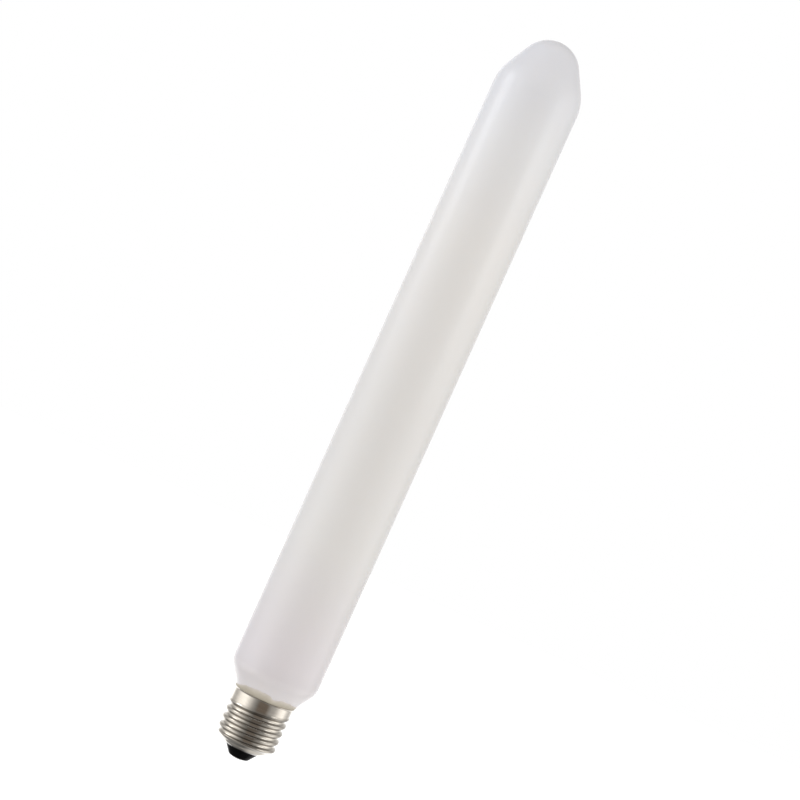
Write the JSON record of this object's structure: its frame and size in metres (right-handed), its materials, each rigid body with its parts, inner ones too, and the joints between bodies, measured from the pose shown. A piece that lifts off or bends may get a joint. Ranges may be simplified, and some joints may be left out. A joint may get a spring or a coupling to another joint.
{
  "type": "tubular light bulb",
  "caption": "Long tubular opal glass bulb with a rounded conical nose and an E27 right-hand screw cap with a black insulator.",
  "frame": {"origin": "where the bulb's axis meets the end face of the centre contact, which is where the screw cap bottoms in its holder", "axes": "+Z along the bulb's axis from the cap to the tip of the glass; +X and +Y across it, with a crest of the thread 19.6 mm above the origin on the +X side"},
  "size_m": [0.038, 0.038, 0.326],
  "materials": {
    "opal_glass": "satin",
    "cement": "matte",
    "nickel_plate": "polished",
    "black_glass": "gloss",
    "contact_metal": "satin"
  },
  "bodies": {
    "root": {"glass_bulb": "opal_glass", "capping_cement": "cement", "screw_shell": "nickel_plate", "insulator": "black_glass", "centre_contact": "contact_metal"}
  },
  "joints": []
}
